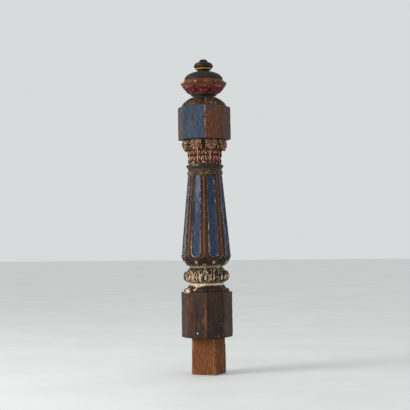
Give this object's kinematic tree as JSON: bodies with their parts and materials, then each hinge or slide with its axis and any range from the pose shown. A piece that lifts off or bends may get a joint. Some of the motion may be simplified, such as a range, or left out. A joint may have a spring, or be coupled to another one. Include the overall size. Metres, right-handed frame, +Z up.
{
  "type": "carved newel post",
  "caption": "Tall carved and painted timber newel post: square tenon, octagonal blocks, panelled vase shaft, leaf capital and turned onion finial.",
  "frame": {"origin": "on the ground under the middle of the post, at the level of the tenon's foot", "axes": "+Z up along the post; X and Y square to the wide faces of the octagonal blocks and to the sides of the tenon"},
  "size_m": [0.2064, 0.2064, 1.3],
  "materials": {
    "painted_teak": "old worn paint in dark brown, blue, red and cream over bare brown teak, matt to satin"
  },
  "bodies": {
    "root": {"newel_post": "painted_teak"}
  },
  "joints": []
}
